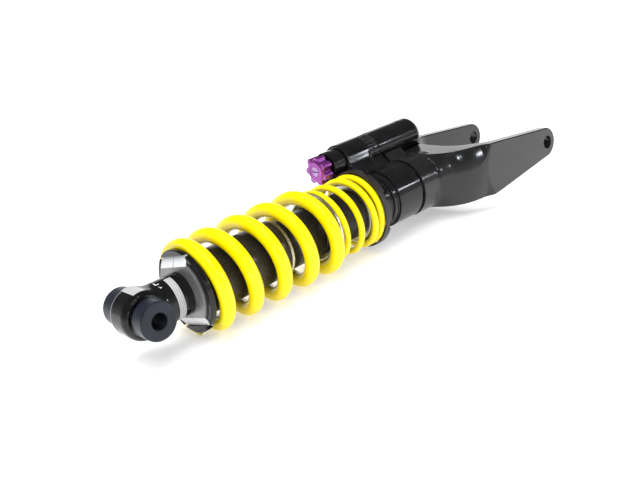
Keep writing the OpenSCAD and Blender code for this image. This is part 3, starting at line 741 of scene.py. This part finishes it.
def adjuster_collar(x, y, z):
    rr = np.hypot(y, z)
    f = both(rr - COLLAR_HI[2], slab(x, COLLAR_LO[0], COLLAR_HI[0]), 0.8)
    f = cut(f, both(rr - RECESS_R, x - COLLAR_FLOOR), 0.3)
    f = cut(f, rr - TUBE_R - TUBE_GAP, 0.3)
    step = TAU / 8
    a = np.mod(np.arctan2(z, y) - math.radians(110) + step / 2, step) - step / 2
    notch = np.maximum(np.abs(rr * np.sin(a)) - 4, COLLAR_HI[2] - 2.6 - rr * np.cos(a))
    f = cut(f, np.maximum(notch, COLLAR_FLOOR + 0.5 - x), 0.35)
    b = math.radians(222.5)
    q, t = around(y, z, b)
    middle = (COLLAR_FLOOR + COLLAR_HI[0]) / 2
    hole = np.maximum(np.hypot(q, x - middle) - 1.25, TUBE_R + 1.6 - t)
    return cut(f, hole, 0.25)


piece(nets("adjuster_collar_body", adjuster_collar, COLLAR_LO, COLLAR_HI, 0.5), COLLAR,
      "collar_brown", "collar_body", "adjuster_collar")

# ------------------------------------------------------------------ damper tube with its thread
THREAD = (FLANGE_X0 - 10, HOUSE_LO[0] - 1)
THREAD_PITCH = 2.0


def threaded_tube():
    xs = np.concatenate([[TUBE_LO[0], TUBE_LO[0] + 0.6], [THREAD[0] - 1],
                         np.arange(THREAD[0], THREAD[1], 0.25), [THREAD[1] + 1, TUBE_HI[0]]])
    steps = 96
    a = np.arange(steps) * TAU / steps
    turns = xs[:, None] / THREAD_PITCH - a[None] / TAU
    tooth = np.abs(np.mod(turns, 1) - 0.5) * 2
    depth = np.clip((tooth - 0.15) / 0.7, 0, 1) * 0.75
    fade = np.clip(np.minimum(xs - THREAD[0], THREAD[1] - xs) / 1.5, 0, 1)[:, None]
    r = TUBE_R - depth * fade
    r[0] = TUBE_R - 0.6
    verts = np.stack([np.repeat(xs[:, None], steps, 1), r * np.cos(a), r * np.sin(a)], -1)
    bore = []
    for x in (TUBE_HI[0], TUBE_LO[0]):
        bore.append(np.stack([np.full(steps, x), TUBE_BORE * np.cos(a), TUBE_BORE * np.sin(a)], -1))
    verts = np.concatenate([verts, np.array(bore)])
    n = len(verts)
    index = np.arange(n * steps).reshape(n, steps)
    nxt = np.roll(index, -1, 0)
    quads = np.stack([index, np.roll(index, -1, 1), np.roll(nxt, -1, 1), nxt], -1)[:, :, ::-1]
    return build("damper_tube_threaded", verts.reshape(-1, 3), quads.reshape(-1, 4))


tube = piece(threaded_tube(), DARK_TUBE, "dark_tube", "damper_body", "damper_tube")
tube.data.set_sharp_from_angle(angle=math.radians(40))


# ------------------------------------------------------------------ head, lock ring and fork
RES_X0 = HOUSE_LO[0] + 6.5
RES_X1 = HEAD_X0 + 18
HEAD_X1 = HEAD_X0 + 32.5


def body_housing(x, y, z):
    rr = np.hypot(y, z)
    u, w = around(y, z, RES_ANGLE)
    rad = np.hypot(u - RES_OUT, w)
    x0 = HOUSE_LO[0]
    f = both(rr - TUBE_R - 1, slab(x, x0, HEAD_X0), 0.8)
    f = join(f, both(rr - HEAD_R + 2.4, slab(x, x0 + 14, HEAD_X0 + 4), 1.4), 2.2)
    f = join(f, both(rr - HEAD_R, slab(x, HEAD_X0 - 0.8, HEAD_X1), 0.9), 1.0)
    side = both(rad - RES_R, slab(x, RES_X0, RES_X1), 1.2)
    bridge = both(np.abs(w) - BRIDGE_HALF, slab(x, x0 + 7, RES_X1 - 2), 2.5)
    bridge = both(bridge, slab(u, 0, RES_OUT), 0.5)
    f = join(f, bridge, 3.5)
    f = join(f, side, 3.5)
    web = both(np.abs(w) - WEB_HALF, slab(x, RES_X1 - 3, HEAD_X1 - 0.2), 0.8)
    web = both(web, slab(u, 0, 44))
    f = join(f, cut(web, both(rad - RES_R - 0.4, RES_X1 - x), 0.4), 1.5)
    f = np.maximum(f, np.where(rr < HEAD_R + 9, x - HEAD_X1, -99))
    f = join(f, both(rr - SPIGOT_R, slab(x, HEAD_X1 - 2, HOUSE_HI[0]), 0.5))
    f = cut(f, both(rr - TUBE_R - 0.05, x - TUBE_HI[0] - 0.2), 0.3)
    f = cut(f, both(rr - TUBE_BORE + 1, x - TUBE_HI[0] - 10), 0.3)
    f = cut(f, both(rad - RES_BORE + 1, x - RES_X0 - 20), 0.3)
    f = cut(f, both(rad - RES_BORE - 2.05, RES_X0 + 19 - x), 0.3)
    port = both(np.hypot(x - TUBE_HI[0] - 4.5, w) - 3.5, slab(u, 10, RES_OUT - RES_BORE / 2))
    return cut(f, port, 0.2)


piece(nets("body_housing_cast", body_housing, HOUSE_LO, HOUSE_HI, 0.7), GLOSS_BLACK,
      "gloss_black", "damper_body", "body_housing")


def lock_ring(x, y, z):
    rr = np.hypot(y, z)
    f = both(rr - LOCK_HI[2], slab(x, LOCK_LO[0], LOCK_HI[0]), 0.4)
    f = cut(f, rr - SPIGOT_R - 0.05, 0.2)
    step = TAU / 8
    a = np.mod(np.arctan2(z, y) - math.radians(100) + step / 2, step) - step / 2
    notch = np.maximum(np.abs(rr * np.sin(a)) - 2.5, HEAD_R - 3 - rr * np.cos(a))
    return cut(f, notch, 0.25)


piece(nets("lock_ring_notched", lock_ring, LOCK_LO, LOCK_HI, 0.45), SATIN_BLACK, "satin_black",
      "damper_body", "lock_ring")

# Radius of the bell at stations measured from the crotch.
BELL_X = CROTCH_X + np.array([
    -70, -36, -34, -31, -28, -24, -18, -12, -6, 0, 6, 11, 15, 19, 24, 40])
BELL_R = np.array([
    30, 30, 31.2, 34.2, 38, 42.8, 47.5, 51, 53.6, 55.4, 56.7, 57.6, 59.5, 61.9, 64.7, 72])
BELL_FINE = np.linspace(BELL_X[0], BELL_X[-1], 400)
BELL_SOFT = np.convolve(np.pad(np.interp(BELL_FINE, BELL_X, BELL_R), 12, mode="edge"),
                        np.hanning(25) / np.hanning(25).sum(), "valid")
FORK_H = 29.0
CROTCH_R = 40.0
GAP_HALF = ARM_OUT - ARM_T
TAPER = (FORK_H - TIP_R) / (TIP_X - CROTCH_X - 15)


def fork(x, y, z):
    rr = np.hypot(y, z)
    bell = np.interp(x, BELL_FINE, BELL_SOFT)
    slope = np.interp(x, BELL_FINE, np.gradient(BELL_SOFT, BELL_FINE))
    f = (rr - bell) / np.sqrt(1 + slope ** 2)
    tall = FORK_H - TAPER * ease(x - CROTCH_X - 15, 25.0)
    side = np.where(x < TIP_X, np.abs(z) - tall, np.hypot(x - TIP_X, z) - TIP_R)
    f = both(f, np.abs(y) - ARM_OUT, 1.6)
    f = both(f, side, 1.3)
    f = join(f, rod(y, z, x, HEAD_R, FORK_LO[0], FORK_LO[0] + 34, 0.8), 2.5)
    f = both(f, FORK_LO[0] - x, 0.8)
    u, w = around(y, z, RES_ANGLE)
    cradle = both(np.abs(w) - WEB_HALF, slab(x, FORK_LO[0] + 0.2, FORK_LO[0] + 25.2), 0.8)
    cradle = both(cradle, slab(u, 0, 42))
    f = join(f, cradle, 1.5)
    qx, qy = CROTCH_X + CROTCH_R - x, np.abs(y) - GAP_HALF + CROTCH_R
    gap = np.hypot(np.maximum(qx, 0), np.maximum(qy, 0)) + np.minimum(np.maximum(qx, qy), 0)
    f = cut(f, gap - CROTCH_R, 1.2)
    f = cut(f, both(rr - SPIGOT_R - 0.05, x - HOUSE_HI[0] - 0.5), 0.4)
    f = cut(f, np.hypot(x - FORK_BORE_X, z) - BOLT_R, 0.7)
    return cut(f, both(np.hypot(u - RES_OUT, w) - RES_R - 1, x - RES_HI[0] - 2), 0.8)


piece(nets("fork_milled", fork, FORK_LO, FORK_HI, 0.8), SATIN_BLACK, "satin_black",
      "damper_body", "fork")

# ------------------------------------------------------------------ reservoir
ON_RES = (RES_Y, RES_Z)
BAND_X1 = BAND_HI[0] + 0.1
piece(turned("reservoir_tube_turned", [
    (RES_LO[0], RES_BORE, 0.2), (RES_LO[0], RES_BORE + 2, 0.2), (RES_X1 + 0.1, RES_BORE + 2, 0.1),
    (RES_X1 + 0.1, RES_R - 2, 0.1), (BAND_X1, RES_R - 2, 0.1), (BAND_X1, RES_R, 0.6),
    (RES_HI[0] - 18, RES_R, 0.3), (RES_HI[0] - 17.6, RES_R - 0.5, 0.2),
    (RES_HI[0] - 16.6, RES_R - 0.5, 0.2), (RES_HI[0] - 16.2, RES_R, 0.3),
    (RES_HI[0] - 3.6, RES_R, 2.0), (RES_HI[0], RES_R - 1.5, 0.6),
    (RES_HI[0], RES_BORE + 1, 0.3), (RES_HI[0] - 6.6, RES_BORE + 1, 0.2),
    (RES_HI[0] - 6.6, RES_BORE, 0.2)], centre=ON_RES), GLOSS_BLACK, "gloss_black",
    "damper_body", "reservoir_tube")


def ridges(station, radius, angle):
    """Lengthwise grooves of the grip band, fading at its rounded ends."""
    outer = np.clip((radius - (RES_R - 1.2)) / 0.6, 0, 1)
    return outer * 0.75 * np.clip(np.cos(angle * 24) * 1.6 - 0.5, 0, 1)


piece(turned("knurled_band_ridged", [
    (BAND_LO[0], RES_R - 1.95, 0.1), (BAND_LO[0], RES_R - 0.3, 0.5),
    (BAND_LO[0] + 4, RES_R - 0.3, 0.2), (BAND_LO[0] + 4.3, RES_R - 1.1, 0.2),
    (BAND_LO[0] + 4.9, RES_R - 1.1, 0.2), (BAND_LO[0] + 5.2, RES_R - 0.3, 0.2),
    (BAND_HI[0], RES_R - 0.3, 0.5), (BAND_HI[0], RES_R - 1.95, 0.1)],
    centre=ON_RES, steps=480, wave=ridges), SATIN_BLACK, "satin_black", "damper_body",
    "knurled_band")

lo, hi = span("reservoir_cap")
CAP_R = (hi[2] - lo[2]) / 2
piece(turned("reservoir_cap_turned", [
    (lo[0], 2.55, 0.2), (lo[0], CAP_R, 0.2), (hi[0] - 0.9, CAP_R, 0.3), (hi[0], CAP_R - 0.9, 0.4),
    (hi[0], 6.5, 0.5), (hi[0] - 5, 6.5, 0.4), (hi[0] - 5, 2.55, 0.2)],
    centre=ON_RES), GLOSS_BLACK, "gloss_black", "damper_body", "reservoir_cap")

lo, hi = span("adjuster_body")
KNOB_X0 = KNOB_LO[0]
piece(turned("adjuster_body_turned", [
    (lo[0], 4.05, 0.2), (lo[0], 9, 0.3), (lo[0] + 1.5, 9, 0.2),
    (lo[0] + 1.5, 15, 0.8), (lo[0] + 4, 15, 0.2), (lo[0] + 4.6, 14.4, 0.2),
    (lo[0] + 5.8, 14.4, 0.2), (lo[0] + 6.4, 15, 0.2), (RES_X0 - 0.1, 15, 0.4),
    (RES_X0 - 0.1, RES_BORE - 1.05, 0.2), (hi[0], RES_BORE - 1.05, 0.3), (hi[0], 7, 0.2),
    (RES_X0 + 5, 7, 0.2), (RES_X0 + 5, 4.05, 0.2)], centre=ON_RES), GLOSS_BLACK,
    "gloss_black", "damper_body", "adjuster_body")

KNOB_T = 12.4


def compression_knob(x, y, z):
    y, z = y - RES_Y, z - RES_Z
    rr = np.hypot(y, z)
    x0 = KNOB_X0
    face = np.interp(rr, [0, 9.5, 11], [0.7, 0.4, 1.2])
    core = both(rr - 11.4, slab(x, x0, x0 + KNOB_T), 1.6)
    step = TAU / 7
    a = np.mod(np.arctan2(z, y) - math.radians(100) + step / 2, step) - step / 2
    lobe = np.hypot(rr * np.cos(a) - 15.2 + 4.0, rr * np.sin(a)) - 4.0
    lobe = both(lobe, slab(x, x0 + 1.6, x0 + KNOB_T), 1.3)
    f = join(core, lobe, 1.2)
    f = both(f, x0 + face - x, 0.5)
    f = join(f, both(rr - 4, slab(x, x0 + 4, x0 + KNOB_T + 12), 0.3), 0.4)
    return cut(f, both(rr - 5.05, x - x0 - 3.5), 0.4)


piece(nets("compression_knob_lobed", compression_knob, KNOB_LO, KNOB_HI, 0.33), PURPLE,
      "purple", "knob_body", "compression_knob")

# ------------------------------------------------------------------ CAD nodes shown as they are
CARRIED = {
    "eye_race": SPRING_STEEL, "eye_ball": STEEL, "eye_circlip_near": SPRING_STEEL,
    "eye_circlip_far": SPRING_STEEL, "piston_rod": CHROME, "bump_stop": FOAM,
    "rebound_screw": BRASS, "piston": BRONZE, "piston_band": PTFE,
    "compression_shims": SPRING_STEEL, "rebound_shims": SPRING_STEEL,
    "piston_nut": SPRING_STEEL, "thrust_washer": NYLON, "collar_screw": SPRING_STEEL,
    "rod_guide": SILVER, "rod_seal": RUBBER, "wiper_cap": SILVER, "gas_valve": BRASS,
    "valve_cap": RUBBER, "floating_piston": SILVER, "floating_oring": RUBBER,
    "knob_screw": PURPLE_PALE,
}
for node, mat in CARRIED.items():
    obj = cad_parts[node]
    obj.data.materials.clear()
    obj.data.materials.append(mat)

# ------------------------------------------------------------------ stage, light and camera
FLOOR_Z = -MAIN_HI[2] * MM
FLOOR_HALF = 3.2
BEND = 1.6


def backdrop():
    """White floor that curves up behind the object."""
    away = Vector((0.637, 0.771, 0))
    across = Vector((away.y, -away.x, 0))
    rows = [(-FLOOR_HALF, 0.0), (0.0, 0.0), (FLOOR_HALF, 0.0)]
    for k in range(1, 13):
        a = k / 12 * math.pi / 2
        rows.append((FLOOR_HALF + BEND * math.sin(a), BEND * (1 - math.cos(a))))
    rows.append((FLOOR_HALF + BEND, BEND + 0.4))
    verts = []
    for far, up in rows:
        for s in (-1, 1):
            p = away * far + across * s * FLOOR_HALF * 1.6
            verts.append((p.x / MM, p.y / MM, (FLOOR_Z + up) / MM))
    quads = [(2 * i, 2 * i + 1, 2 * i + 3, 2 * i + 2) for i in range(len(rows) - 1)]
    obj = build("studio_floor", verts, quads)
    m = material("studio_white", (0.7, 0.7, 0.7), 0.7, tint=(0.73, 0.73, 0.73), grain=900,
                 bump=0.02, specular=0.0)
    glow = m.node_tree.nodes["Principled BSDF"].inputs
    glow["Emission Color"].default_value = (1, 1, 1, 1)
    glow["Emission Strength"].default_value = 0.42
    obj.data.materials.append(m)


backdrop()


def area(name, at, aim, size, power, colour=(1, 1, 1), shape="RECTANGLE"):
    """Area light at a point in metres, facing aim."""
    light = bpy.data.lights.new(name, "AREA")
    light.shape = shape
    light.size = size[0]
    if shape == "RECTANGLE":
        light.size_y = size[1]
    light.energy = power
    light.color = colour
    obj = bpy.data.objects.new(name, light)
    bpy.context.scene.collection.objects.link(obj)
    at, aim = Vector(at), Vector(aim)
    facing = (aim - at).to_track_quat("-Z", "Y").to_matrix().to_4x4()
    obj.matrix_world = Matrix.Translation(at) @ facing
    return obj


middle = Vector((0.25, 0, 0))
for name, at, size, power in (("overhead_softbox", (0.1, 0.5, 2.1), 1.1, 24),
                              ("left_softbox", (-1.6, -0.9, 1.2), 0.7, 9),
                              ("right_softbox", (1.5, -1.5, 1.0), 0.6, 6)):
    area(name, at, middle, (size, size), power).visible_glossy = False
daylight = bpy.data.objects.new("diffuse_roof", bpy.data.lights.new("diffuse_roof", "SUN"))
daylight.data.energy = 2.7
daylight.data.angle = math.radians(70)
daylight.visible_glossy = False
daylight.matrix_world = Vector((-0.25, -0.1, 1)).to_track_quat("Z", "Y").to_matrix().to_4x4()
bpy.context.scene.collection.objects.link(daylight)
# Small lamps that the camera sees as highlights: place in metres and width. Each stands
# a little off its mark.
rng = np.random.default_rng(7)
lamps = [(1.4, -1.89, 0.7, 0.22), (-0.22, -1.86, 1.11, 0.2), (-0.71, -1.14, 1.6, 0.1),
         (-1.32, -1.35, 0.59, 0.1), (1.81, -1.49, 0.65, 0.12), (-0.2, -1.0, 2.0, 0.12),
         (0.4, -0.6, 2.1, 0.12)]
LAMP_POWER = 110
for i, (x, y, z, wide) in enumerate(lamps):
    x += 0.02 * float(rng.random())
    area("studio_lamp_%d" % i, (x, y, z), middle, (wide, wide), LAMP_POWER * wide * wide,
         (0.88, 0.92, 1.0), "DISK")

world = bpy.data.worlds.new("room")
bpy.context.scene.world = world
world.use_nodes = True
nodes, links = world.node_tree.nodes, world.node_tree.links
sky = nodes["Background"]
way = nodes.new("ShaderNodeTexCoord")
axes = nodes.new("ShaderNodeSeparateXYZ")
fade = nodes.new("ShaderNodeMapRange")
fade.inputs["From Min"].default_value, fade.inputs["From Max"].default_value = -0.05, 0.4
fade.inputs["To Min"].default_value, fade.inputs["To Max"].default_value = 1.0, 0.15
links.new(way.outputs["Generated"], axes.inputs[0])
links.new(axes.outputs["Z"], fade.inputs["Value"])
tone = nodes.new("ShaderNodeCombineColor")
for k in range(3):
    links.new(fade.outputs["Result"], tone.inputs[k])
links.new(tone.outputs["Color"], sky.inputs["Color"])
sky.inputs["Strength"].default_value = 0.9

CAMERA_AT = Vector((-0.257985, -0.550972, 0.248205))
YAW, PITCH, ROLL = 0.88, 0.349, -0.18
forward = Vector((math.cos(PITCH) * math.cos(YAW), math.cos(PITCH) * math.sin(YAW),
                  -math.sin(PITCH)))
level = forward.cross(Vector((0, 0, 1))).normalized()
above = level.cross(forward)
right = math.cos(ROLL) * level + math.sin(ROLL) * above
up = -math.sin(ROLL) * level + math.cos(ROLL) * above
camera = bpy.data.objects.new("camera", bpy.data.cameras.new("camera"))
camera.data.sensor_width = 36
camera.data.lens = 45
camera.data.clip_start = 0.01
camera.matrix_world = Matrix.Translation(CAMERA_AT) @ Matrix(
    (right, up, -forward)).transposed().to_4x4()
bpy.context.scene.collection.objects.link(camera)
bpy.context.scene.camera = camera
bpy.context.scene.view_settings.view_transform = "Standard"
